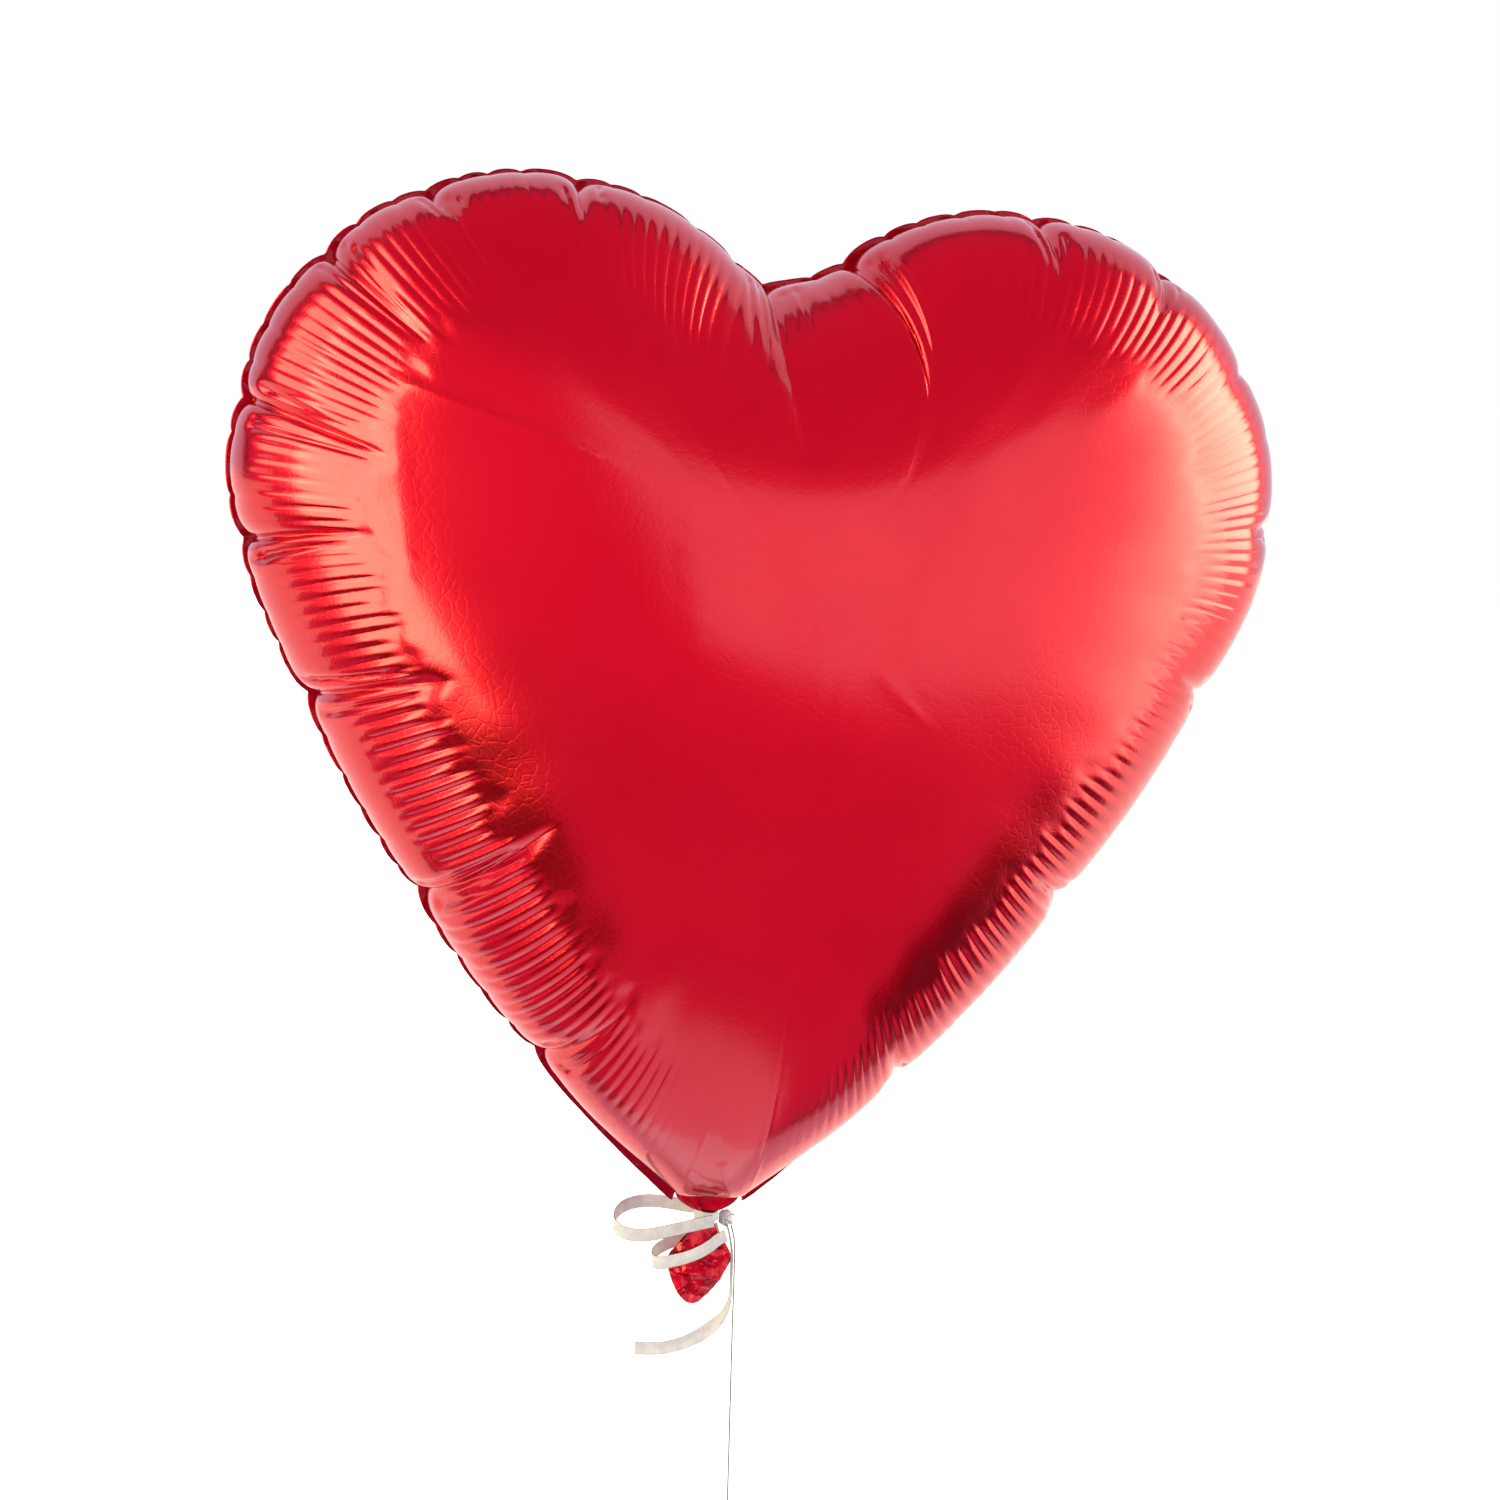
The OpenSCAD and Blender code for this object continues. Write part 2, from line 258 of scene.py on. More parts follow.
RED_FOIL = foil_material("red_foil_film", FOIL_DEEP, FOIL_LIGHT, 0.2, 0.03 * MM)
RED_CRUSHED = foil_material("red_crushed_film", CRUSHED_DEEP, CRUSHED_LIGHT, 0.18, 0.06 * MM,
    CRUSHED_PATCHES)
# The seal's material carries painted shade in its dark colours
RED_SEAL_SHADED = foil_material("red_seal_film_painted_shade", SEAL_SHADE_DEEP, SEAL_SHADE_LIGHT, 0.3, 0.1 * MM)
RIBBON = ribbon_material()
CLEAR_FILM = clear_film_material()


# ---------------------------------------------------------------- Mesh helpers

def new_piece(name, points, faces, material, smooth=True):
    """A mesh object of the given points and faces."""
    mesh = bpy.data.meshes.new(name)
    mesh.from_pydata([tuple(p) for p in points], [], faces)
    mesh.polygons.foreach_set("use_smooth", [smooth] * len(mesh.polygons))
    mesh.materials.append(material)
    mesh.update()
    piece = bpy.data.objects.new(name, mesh)
    bpy.context.scene.collection.objects.link(piece)
    return piece


def unit(vectors):
    """Vectors divided by their lengths, along the last axis."""
    return vectors / np.maximum(np.linalg.norm(vectors, axis=-1, keepdims=True), 1e-12)


def smooth_step(value, low, high):
    t = np.clip((value - low) / (high - low), 0, 1)
    return t * t * (3 - 2 * t)


def resample(points, count):
    """count points at equal steps along a line of points, both ends kept."""
    along = np.r_[0, np.cumsum(np.linalg.norm(np.diff(points, axis=0), axis=1))]
    places = np.linspace(0, along[-1], count)
    return np.stack([np.interp(places, along, points[:, k]) for k in range(3)], 1)


STEPS_A_SPAN = 12


def smooth_route(route, count):
    """A smooth curve through a route's points, as count points at equal steps."""
    p = np.array(route, float)
    p = np.vstack([2 * p[0] - p[1], p, 2 * p[-1] - p[-2]])
    t = np.linspace(0, 1, STEPS_A_SPAN, endpoint=False)[:, None]
    spans = [0.5 * (2 * b + (c - a) * t + (2 * a - 5 * b + 4 * c - d) * t ** 2
        + (3 * b - a - 3 * c + d) * t ** 3) for a, b, c, d in zip(p, p[1:], p[2:], p[3:])]
    return resample(np.vstack([*spans, p[-2:-1]]), count)


def path_length(points):
    return float(np.linalg.norm(np.diff(points, axis=0), axis=1).sum())


# ---------------------------------------------------------------- Ribbon

RIBBON_W = 4.8 * MM
RIBBON_T = 0.22 * MM
# How far the middle of the ribbon's width bows out, and the count of quads across it
RIBBON_CUP = 0.25 * MM
RIBBON_ACROSS = 12

# Routes of the ribbon along its middle, in millimetres, the same as the CAD model's
UPPER_LOOP = [(2, 4.4, 0.6), (-2, 5, 0.8), (-7, 5.6, 1.2), (-12, 6.2, 1.8), (-17, 6.8, 2.2),
    (-22, 7, 2.2), (-27, 6.4, 1.4), (-31, 4.4, 0), (-33.5, 1.4, -2), (-34, -2, -4),
    (-32, -5, -5.6), (-28, -7, -6.2), (-23, -7.8, -6), (-18, -7.6, -5.2), (-13, -7, -4.2),
    (-8, -6.2, -3.2), (-3, -5.4, -2.2), (2, -4.4, -1.4)]
LOWER_LOOP = [(6, 4, -7), (2, 4.8, -8.4), (-3, 5.2, -10), (-8, 5.2, -11.6), (-12.5, 4.6, -13.2),
    (-16.5, 3, -15), (-18.8, 0.6, -16.8), (-18.6, -2.4, -17.8), (-16, -4.8, -17.4),
    (-12, -6, -16.2), (-7.5, -6.4, -14.8), (-3, -6.2, -13), (1, -5.6, -10.8), (4.5, -4.8, -8.2),
    (7.4, -4, -6.9)]
CURL = [(8.2, 0, -4.4), (9.6, 0, -9), (10.6, 0, -14), (11, 0, -19), (11.2, -0.2, -24),
    (11.4, -0.6, -29), (10.8, -1.2, -34), (8.6, -1.8, -38.6), (5, -2.4, -42.4), (0.8, -3, -45.4),
    (-3.8, -3.6, -47.6), (-8.6, -4, -49.2), (-13.6, -4.2, -50.2), (-18.6, -3.8, -50.6),
    (-23.4, -3, -50.6)]
TETHER = [(9.6, 0, -3.6), (11, 0, -8), (11.8, 0, -14), (12.2, 0, -22), (12.6, 0, -30),
    (13, 0, -40), (13.5, 0, -50), (14, 0, -60), (14.5, 0, -70), (15, 0, -80), (15.5, 0, -90),
    (16, 0, -100), (16.5, 0, -110), (16.9, 0, -118)]
HAND_LOOP = [(17.6, 0, -122), (19.4, 0, -125), (23, 0, -129.5), (25.8, 0, -134.5),
    (26.8, 0, -140), (25.4, 0, -145.4), (22, 0, -149), (17.6, 0, -150.2), (13.2, 0, -149),
    (9.8, 0, -145.4), (8.4, 0, -140), (9.4, 0, -134.5), (12.4, 0, -129.5), (15.6, 0, -125),
    (16.8, 0, -122)]
# The tether is pulled taut with its edge to the front
TETHER_WIDE = (0.2, 1, 0)
TETHER_T = 0.4 * MM
HAND_LOOP_POINTS = 150


def ribbon_piece(name, path, wide, width=RIBBON_W, thick=RIBBON_T, cup=RIBBON_CUP, closed=False):
    """Flat ribbon along a path of points. wide is the direction of its width at each point."""
    n = len(path)
    ahead = unit(np.roll(path, -1, 0) - np.roll(path, 1, 0)) if closed else unit(
        np.gradient(path, axis=0))
    across = unit(wide - ahead * (wide * ahead).sum(1, keepdims=True))
    through = np.cross(ahead, across)
    u = np.linspace(-1, 1, RIBBON_ACROSS + 1)
    bow = cup * (1 - u ** 2)
    half_thick = thick / 2 * np.minimum(1, 4 * (1 - abs(u)) + 0.8)
    offsets = np.r_[np.c_[u * width / 2, bow + half_thick],
        np.c_[u * width / 2, bow - half_thick][::-1]]
    ring = len(offsets)
    points = (path[:, None] + across[:, None] * offsets[None, :, :1]
        + through[:, None] * offsets[None, :, 1:]).reshape(-1, 3)
    faces = []
    for i in range(n if closed else n - 1):
        for k in range(ring):
            a, b = i * ring + k, i * ring + (k + 1) % ring
            j = (i + 1) % n
            faces.append((a, b, j * ring + (k + 1) % ring, j * ring + k))
    if not closed:
        for end, flip in ((0, 1), (n - 1, -1)):
            for k in range(RIBBON_ACROSS):
                quad = (end * ring + k, end * ring + ring - 1 - k, end * ring + ring - 2 - k,
                    end * ring + k + 1)
                faces.append(quad[::flip])
    piece = new_piece(name, points, faces, RIBBON)
    lay = piece.data.uv_layers.new(name="ribbon")
    place = np.tile(np.r_[u, u[::-1]] * 0.5 + 0.5, n)
    along = np.repeat(np.arange(n) * path_length(path) / n / width, ring)
    corner = np.zeros(len(piece.data.loops), np.int32)
    piece.data.loops.foreach_get("vertex_index", corner)
    lay.data.foreach_set("uv", np.c_[place[corner], along[corner]].astype(np.float32).ravel())
    return piece


def turning(first, second, count, start=0.0, end=1.0):
    """Directions that turn from the first to the second between two shares of the way."""
    t = smooth_step(np.linspace(0, 1, count), start, end)[:, None]
    return np.array(first, float) * (1 - t) + np.array(second, float) * t


def steady(direction, count):
    return turning(direction, direction, count)


def make_cord(name, node, body, route, wide, thick=RIBBON_T):
    """A ribbon along a CAD route, in place of the CAD part."""
    path = smooth_route(np.array(route, float) * MM, STEPS_A_SPAN * (len(route) - 1) + 1)
    piece = ribbon_piece(name, path, wide(len(path)), RIBBON_W, thick)
    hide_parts(node)
    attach(piece, body)
    return piece


def upright_wide(count):
    return steady((0, 0, 1), count)


def curl_wide(count):
    """The curl turns from edge-on at its upper end to upright at its free end."""
    return turning((0, 1, 0), (0, 0, 1), count, 0.3, 0.8)


def tether_wide(count):
    return steady(TETHER_WIDE, count)


# Turns of ribbon in a knot, and how far in degrees each leans from the one before
KNOT_TURNS = 3
KNOT_LEAN = 52
KNOT_TILT = 38


def make_knot(name, node, body, centre, radius):
    """A small tight knot of ribbon: turns of ribbon round a ball that lean different ways."""
    around = np.linspace(0, 2 * math.pi, 72, endpoint=False)
    pieces = []
    for k in range(KNOT_TURNS):
        lean = Matrix.Rotation(math.radians(KNOT_LEAN * k + 12), 3, "Y") @ Matrix.Rotation(
            math.radians(KNOT_TILT * (k - 1)), 3, "X")
        r = radius * (0.84 + 0.05 * k)
        ring = np.stack([r * np.cos(around), r * np.sin(around) * 0.9,
            0.12 * radius * np.sin(2 * around + k)], 1) @ np.array(lean).T
        axis = np.array(lean @ Vector((0, 0, 1)))
        pieces.append(ribbon_piece(f"{name}_turn_{k + 1}", ring + np.array(centre),
            np.tile(axis, (len(ring), 1)), radius * (1.35 - 0.1 * k), RIBBON_T, 0.12 * radius,
            closed=True))
    joined = join(pieces, name)
    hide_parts(node)
    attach(joined, body)
    return joined


def join(pieces, name):
    """One object of several."""
    with bpy.context.temp_override(active_object=pieces[0], selected_editable_objects=pieces,
            selected_objects=pieces):
        bpy.ops.object.join()
    pieces[0].name = name
    pieces[0].data.name = name
    return pieces[0]


def ball_of(node):
    """Middle and radius of a round node."""
    low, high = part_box(node)
    return (low + high) / 2, (high.x - low.x) / 2


# The neck's knot is a little larger than its CAD ball and lies a little towards the tether, so
# that it meets the tether's end and stays off the neck's turns
NECK_KNOT_SCALE = 1.1
NECK_KNOT_OFFSET = Vector((0.3, 0, -0.35)) * MM


def make_ribbons():
    """The hand loop and its knot, the four free ribbons and the knot at the neck."""
    loop_path = smooth_route(np.array(HAND_LOOP, float) * MM, HAND_LOOP_POINTS)
    loop = ribbon_piece("hand_loop_ribbon", loop_path, steady((0, 1, 0), HAND_LOOP_POINTS))
    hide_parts("hand_loop")
    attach(loop, "tether")
    centre, radius = ball_of("loop_knot")
    end_knot = make_knot("hand_loop_knot", "loop_knot", "tether", centre, radius)
    make_cord("ribbon_loop_left", "ribbon_upper_loop", "envelope", UPPER_LOOP, upright_wide)
    make_cord("ribbon_loop_round_tail", "ribbon_lower_loop", "tail", LOWER_LOOP, upright_wide)
    make_cord("ribbon_curled_end", "ribbon_curl", "tail", CURL, curl_wide)
    make_cord("ribbon_tether", "tether_ribbon", "tether", TETHER, tether_wide,
        TETHER_T)
    centre, radius = ball_of("ribbon_knot")
    make_knot("neck_knot", "ribbon_knot", "knot", centre + NECK_KNOT_OFFSET,
        NECK_KNOT_SCALE * radius)


make_ribbons()


# ---------------------------------------------------------------- Heart outline

panel_low, panel_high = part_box("front_panel")
LOBE_R = 100 * MM
SIDE_R = 630 * MM
DIP_R = 30 * MM
TIP_HALF_W = 12.5 * MM
TIP_Z = panel_low.z
LOBE_C = np.array([panel_high.x - LOBE_R, panel_high.z - LOBE_R])
HALF_DEPTH = -panel_low.y
# Where all columns of the panel's grid meet, and the counts of its columns and rings
MIDDLE = np.array([0, 0.88 * LOBE_C[1]])
COLUMNS = 1536
RINGS = 74


def arc_points(centre, radius, start, end):
    """Points round an arc, about 0.3 mm apart."""
    count = max(8, int(abs(end - start) * radius / (0.3 * MM)))
    a = np.linspace(start, end, count)
    return np.stack([centre[0] + radius * np.cos(a), centre[1] + radius * np.sin(a)], 1)


def heart_outline():
    """COLUMNS points at equal steps round the heart, from the middle of its lower end up the
    right side, and the outline's length."""
    tip = np.array([TIP_HALF_W, TIP_Z])
    far = np.linalg.norm(tip - LOBE_C)
    lean = math.acos((LOBE_R ** 2 - far ** 2 - 2 * SIDE_R * LOBE_R) / (2 * SIDE_R * far))
    direction = math.atan2(tip[1] - LOBE_C[1], tip[0] - LOBE_C[0]) - lean
    side_c = tip + SIDE_R * np.array([math.cos(direction), math.sin(direction)])
    side_start = math.atan2(tip[1] - side_c[1], tip[0] - side_c[0])
    side_end = math.atan2(LOBE_C[1] - side_c[1], LOBE_C[0] - side_c[0])
    dip_c = np.array([0, LOBE_C[1] + math.sqrt((LOBE_R + DIP_R) ** 2 - LOBE_C[0] ** 2)])
    lobe_end = math.atan2(dip_c[1] - LOBE_C[1], dip_c[0] - LOBE_C[0])
    dip_start = math.atan2(LOBE_C[1] - dip_c[1], LOBE_C[0] - dip_c[0])
    chord = np.stack([np.linspace(0, TIP_HALF_W, 40), np.full(40, TIP_Z)], 1)
    half = np.vstack([chord, arc_points(side_c, SIDE_R, side_start, side_end)[1:],
        arc_points(LOBE_C, LOBE_R, side_end, lobe_end)[1:],
        arc_points(dip_c, DIP_R, dip_start, -math.pi / 2)[1:]])
    whole = np.vstack([half, (half * [-1, 1])[::-1][1:]])
    flat = np.stack([whole[:, 0], 0 * whole[:, 0], whole[:, 1]], 1)
    return resample(flat, COLUMNS + 1)[:-1][:, [0, 2]], path_length(flat)


OUTLINE, PERIMETER = heart_outline()
PLACE = np.arange(COLUMNS) * PERIMETER / COLUMNS
SHARE = PLACE / PERIMETER
FROM_TIP = np.minimum(PLACE, PERIMETER - PLACE) - TIP_HALF_W


def rim_normals():
    """Inward direction at each point of the outline, smoothed round its corners."""
    ahead = unit(np.roll(OUTLINE, -1, 0) - np.roll(OUTLINE, 1, 0))
    inward = np.stack([-ahead[:, 1], ahead[:, 0]], 1)
    reach = 6
    window = np.hanning(2 * reach + 1)
    smooth = sum(w * np.roll(inward, k - reach, 0) for k, w in enumerate(window))
    return unit(smooth)


INWARD = rim_normals()

# How far the columns run straight in from the rim, and over what length that grows at the tip
STRAIGHT = 62 * MM
TIP_GROWTH = 150 * MM


def panel_columns():
    """Points of the flat heart, [ring, column, (x, z)]. Each column leaves the rim at a right
    angle and turns smoothly towards the middle."""
    straight = STRAIGHT * smooth_step(FROM_TIP, 0, TIP_GROWTH)
    t = 1 - np.cos(np.linspace(0, math.pi / 2, RINGS + 1))
    t = t[:, None, None]
    return ((1 - t * t) * OUTLINE[None] + 2 * t * (1 - t) * (INWARD * straight[:, None])[None]
        + t * t * MIDDLE)


# How much the nearest rim counts in the height, and how much lower the film is at the tip
NEAR_POWER = 0.43
TIP_LOSS = 0.55
TIP_FADE = 22 * MM
# The height is worked out for every fourth column and runs straight between them
HEIGHT_COLUMNS = 4


def film_height(points):
    """Height of the gas-filled film over each point: steep at the rim, flat in the middle."""
    rim = OUTLINE
    edge = np.roll(rim, -1, 0) - rim
    length = np.linalg.norm(edge, axis=1)
    edge = edge / length[:, None]
    out = np.stack([edge[:, 1], -edge[:, 0]], 1)
    flat = points.reshape(-1, 2)
    from_rim = np.linalg.norm(points - points[:1], axis=2).ravel()
    height = np.empty(len(flat))
    step = 2000
    for k in range(0, len(flat), step):
        to_rim = rim[None] - flat[k:k + step, None]
        off = (to_rim * out[None]).sum(2)
        side = np.sign(off)
        off = np.maximum(abs(off), 1e-6)
        s0 = (to_rim * edge[None]).sum(2)
        s1 = s0 + length[None]
        reach = (side * off * (np.arcsinh(s1 / off) - np.arcsinh(s0 / off))).sum(1)
        turn = np.arctan2(s1, off) - np.arctan2(s0, off)
        bow = s1 * off / (s1 ** 2 + off ** 2) - s0 * off / (s0 ** 2 + off ** 2)
        near = (side * (turn + bow) / (2 * off ** 2)).sum(1)
        near = np.maximum(near, 1 / np.maximum(from_rim[k:k + step], 1e-7) ** 2)
        height[k:k + step] = (np.maximum(reach, 0) / (2 * math.pi)) ** (1 - NEAR_POWER) * (
            near ** (-NEAR_POWER / 2))
    height *= 1 - TIP_LOSS * np.exp(-flat[:, 1] / TIP_FADE)
    return height.reshape(points.shape[:-1])


def smooth_height(points):
    """Height of the film over every point, scaled to the CAD panel's depth."""
    height = film_height(points[:, ::HEIGHT_COLUMNS])
    height[0] = 0
    known = np.arange(0, COLUMNS + 1, HEIGHT_COLUMNS)
    height = np.stack([np.interp(np.arange(COLUMNS), known, np.r_[row, row[0]])
        for row in height])
    return height * (HALF_DEPTH - 0.2 * MM) / height.max()


# ---------------------------------------------------------------- Creases, pillows and wrinkles

# Deep creases that run in from the rim: share of the way round, length and depth in millimetres
CREASES = ((0.074, 48, 3.2), (0.150, 62, 3.6), (0.226, 52, 3.4), (0.285, 38, 3.0),
    (0.335, 26, 2.0), (0.374, 40, 3.2), (0.416, 46, 3.4), (0.478, 88, 3.8), (0.505, 98, 4.2),
    (0.570, 44, 3.4), (0.615, 40, 3.0), (0.650, 74, 3.8), (0.699, 78, 4.0), (0.741, 76, 4.0),
    (0.791, 84, 4.2), (0.860, 84, 4.2), (0.923, 62, 3.6))


def wander(rng, place, longest, octaves=3):
    """A smooth line of about -1 to 1 that comes back to its start at the end of the rim."""
    total = np.zeros_like(place)
    for k in range(octaves):
        waves = round(PERIMETER / longest * 2 ** k)
        total += np.sin(2 * math.pi * (place / PERIMETER * waves + rng.random())) / 1.6 ** k
    return total / 1.6


def small_notches(rng):
    """Places of the small notches between the deep creases, about 14 mm apart."""
    deep = [share * PERIMETER for share, _, _ in CREASES]
    places = []
    for a, b in zip(deep, deep[1:]):
        count = max(1, round((b - a) / (14 * MM)))
        steps = np.cumsum(0.6 + 0.8 * rng.random(count))
        places += list(a + (b - a) * steps[:-1] / steps[-1]) if count > 1 else []
    return places


def pillow_shape(edges):
    """Share of the way between each column's neighbouring notches, and their distance apart."""
    edges = np.array(sorted(edges))
    closed = np.r_[edges[-1] - PERIMETER, edges, edges[0] + PERIMETER]
    k = np.clip(np.searchsorted(closed, PLACE, side="right") - 1, 0, len(closed) - 2)
    width = closed[k + 1] - closed[k]
    return (PLACE - closed[k]) / width, width


def rim_distance(place):
    """Signed distance along the rim from a place to each column."""
    return (PLACE - place + PERIMETER / 2) % PERIMETER - PERIMETER / 2


def crease(offset, depth, start, end, wide, skew):
    """A sharp valley along depth, from start to end, that narrows and runs out at its end."""
    along = np.clip((depth - start) / (end - start), 0, 1)
    wide = wide * (1 - 0.55 * along) * np.where(offset > 0, skew, 2 - skew)
    fade = (1 - along ** 3) * (1 if start == 0 else smooth_step(depth, start, start + 6 * MM))
    return np.exp(-abs(offset) / wide) * fade


# Heights of the relief's broad pillows, small scallops, whiskers, face step and face waves
PILLOW_HIGH = 2.6 * MM
SCALLOP_HIGH = 1.5 * MM
WHISKER_DEEP = 1.2 * MM
STEP_HIGH = 0.8 * MM
WAVE_HIGH = 0.5 * MM
# How far in from the rim the face's step stands, in millimetres
STEP_IN = 80


def panel_relief(depth, rng, notches, rim_line):
    """How far each point of a panel stands out from the smooth film. depth is the distance
    from the rim along the film."""
    tip_fade = smooth_step(FROM_TIP, 4 * MM, 60 * MM)[None]
    relief = np.zeros_like(depth)

    # Broad pillows between the deep creases, which stand out past the rim
    share, _ = pillow_shape([s * PERIMETER for s, _, _ in CREASES])
    round_top = (1 - (2 * share - 1) ** 2) ** 0.7
    swell = (1 - np.exp(-depth / (5 * MM))) * (1 - smooth_step(depth, 25 * MM, 80 * MM))
    relief += PILLOW_HIGH * tip_fade * swell * (0.45 + 0.55 * round_top)[None]

    # Small scallops between all notches, close to the rim
    share, width = pillow_shape([s * PERIMETER for s, _, _ in CREASES] + list(notches))
    scallop = (1 - (2 * share - 1) ** 2) ** 0.6 * np.minimum(width / (24 * MM), 1.3)
    reach = (15 + 6 * wander(rng, PLACE, 60 * MM)) * MM
    near = np.exp(-(depth / reach[None]) ** 2)
    relief += tip_fade * SCALLOP_HIGH * near * (scallop - 0.7)[None]

    # Deep creases, sharper on one side than on the other, with a few short whiskers beside them
    for share, length, deep in CREASES:
        length = length * MM * (1.0 + 0.2 * rng.random())
        bend = (rng.random() - 0.5) * 12 * MM
        offset = rim_distance(share * PERIMETER)[None] - bend * (depth / length) ** 2
        skew = 0.6 + 0.8 * rng.random()
        relief -= deep * MM * crease(offset, depth, 0, length, 3.4 * MM, skew)
        for _ in range(int(deep)):
            beside = (4 + 6 * rng.random()) * (1 if rng.random() > 0.5 else -1) * MM
            start = (10 + 14 * rng.random()) * MM
            relief -= WHISKER_DEEP * crease(offset - beside * (1 - 0.5 * depth / length), depth,
                start, length * (0.6 + 0.4 * rng.random()), 1.3 * MM, 1)

    relief += tip_fade * fine_ribs(depth, rng)
    # The face starts on a soft step where the ribs end
    step = (STEP_IN + 4 * wander(rng, PLACE, 50 * MM)) * MM
    high = STEP_HIGH * (0.35 + 0.65 * smooth_step(SHARE, 0.5, 0.65))
    relief += (tip_fade * high * smooth_step(depth, step - 5 * MM, step + 4 * MM)
        * (1 - smooth_step(depth, 88 * MM, 150 * MM)))
    relief += tip_fade * WAVE_HIGH * face_waves(depth, rng)
    rim = rim_line[None] * np.exp(-depth / (3 * MM))
    return relief * (1 - np.exp(-depth / (0.8 * MM))) + rim


# How far in from the rim the fine ribs start, in millimetres: (share of the way round, distance)
RIB_START = ((0, 18), (0.10, 18), (0.16, 30), (0.30, 30), (0.48, 26), (0.60, 20), (0.70, 22),
    (0.77, 32), (0.855, 36), (0.865, 16), (1, 16))
# Where the ribs stand highest: share of the way round, spread and strength
RIB_STRENGTH = ((0.84, 0.09, 1.35), (0.14, 0.06, 1.2), (0.70, 0.08, 0.7), (0.32, 0.10, 0.55),
    (0.50, 0.10, 0.5))
LEAST_STRENGTH = 0.4


def fine_ribs(depth, rng):
    """Fine parallel ribs at right angles to the rim, each with its own height and length."""
    pitch = (5.2 + 0.6 * wander(rng, PLACE, 90 * MM)) * MM
    phase = np.cumsum(PERIMETER / COLUMNS / pitch)
    phase *= round(phase[-1]) / phase[-1]
    number = np.floor(phase).astype(int)
    count = number.max() + 1
    first = np.interp(SHARE, *zip(*RIB_START))
    start = (first + 6 * rng.random(count)[number]) * MM
    end = ((74 + 10 * rng.random(count)) * MM)[number]
    height = ((0.6 + 0.5 * rng.random(count)) * MM)[number]
    strength = LEAST_STRENGTH
    for centre, spread, most in RIB_STRENGTH:
        strength = np.maximum(strength, most * np.exp(-((SHARE - centre) / spread) ** 2))
    height = height * strength
    ridge = abs(np.sin(math.pi * phase)) ** 0.8
    window = smooth_step(depth, start[None], start[None] + 10 * MM) * (
        1 - smooth_step(depth, end[None] - 12 * MM, end[None]))
    return height[None] * (ridge - 0.55)[None] * window


# Long faint folds across the front's face: their two ends (x, z) and height, in millimetres
FACE_FOLDS = ((-134, 296, -59, 274, 0.5), (-133, 284, -126, 226, 0.35), (-40, 268, -36, 214, 0.25),
    (34, 262, 40, 205, 0.2), (20, 218, 44, 196, 0.25))


def face_folds():
    """Thin straight ridges in the smooth face, which fade out at both ends."""
    total = 0
    for x0, z0, x1, z1, high in FACE_FOLDS:
        start, end = np.array([x0, z0]) * MM, np.array([x1, z1]) * MM
        length = np.linalg.norm(end - start)
        ahead = (end - start) / length
        along = ((FLAT_POINTS - start) @ ahead) / length
        beside = (FLAT_POINTS - start) @ np.array([-ahead[1], ahead[0]])
        total = total + high * MM * np.exp(-abs(beside) / (1.6 * MM)) * (
            smooth_step(along, -0.1, 0.2) * (1 - smooth_step(along, 0.7, 1.1)))
    return total


def face_waves(depth, rng):
    """Slow unevenness of the film, which fades out in the very middle."""
    total = 0
    for longest, share in ((160 * MM, 1.0), (70 * MM, 0.4)):
        total = total + share * wander(rng, PLACE, longest, 2)[None] * np.sin(
            depth / longest * 4 + rng.random() * 6)
    return total * smooth_step(depth, 30 * MM, 70 * MM) * (
        1 - smooth_step(depth, 90 * MM, 160 * MM))


# Rings from which on only every second, fourth ... column is kept
COARSER = (48, 56, 62, 66, 69)


def panel_faces():
    """Faces of a panel's grid, with fewer columns further in, and a fan round the middle."""
    faces = []
    step = 1
    for j in range(RINGS - 1):
        row, below = j * COLUMNS, (j + 1) * COLUMNS
        if j in COARSER:
            for i in range(0, COLUMNS, 2 * step):
                mid, end = i + step, (i + 2 * step) % COLUMNS
                faces += [(row + i, row + mid, below + i), (row + mid, below + end, below + i),
                    (row + mid, row + end, below + end)]
            step *= 2
        else:
            for i in range(0, COLUMNS, step):
                end = (i + step) % COLUMNS
                faces.append((row + i, row + end, below + end, below + i))
    last = (RINGS - 1) * COLUMNS
    for i in range(0, COLUMNS, step):
        faces.append((last + i, last + (i + step) % COLUMNS, RINGS * COLUMNS))
    return faces


def used_only(points, faces):
    """Points that faces use, and the faces with their new numbers."""
    used = sorted({v for face in faces for v in face})
    number = {v: k for k, v in enumerate(used)}
    return points[used], [tuple(number[v] for v in face) for face in faces]


def rim_shape():
    """The rim's in and out line and its wave from front to rear, shared by panels and seal."""
    rng = np.random.default_rng(RNG_SEED)
    notches = small_notches(rng)
    fade = smooth_step(FROM_TIP, 0, 40 * MM)
    line = np.zeros(COLUMNS)
    for share, _, deep in CREASES:
        line -= 0.8 * deep * MM * np.exp(-abs(rim_distance(share * PERIMETER)) / (5 * MM))
    for place in notches:
        size = 0.7 + 0.9 * rng.random()
        line -= size * MM * np.exp(-abs(rim_distance(place)) / (2.4 * MM))
    wave = 0.9 * MM * wander(rng, PLACE, 70 * MM, 3)
    return notches, fade * line, fade * wave


FLAT_POINTS = panel_columns()
SMOOTH_HEIGHT = smooth_height(FLAT_POINTS)
NOTCHES, RIM_LINE, RIM_WAVE = rim_shape()
# Half the depth of the open mouth where the panels meet the neck
MOUTH_DEPTH = 4.4 * MM


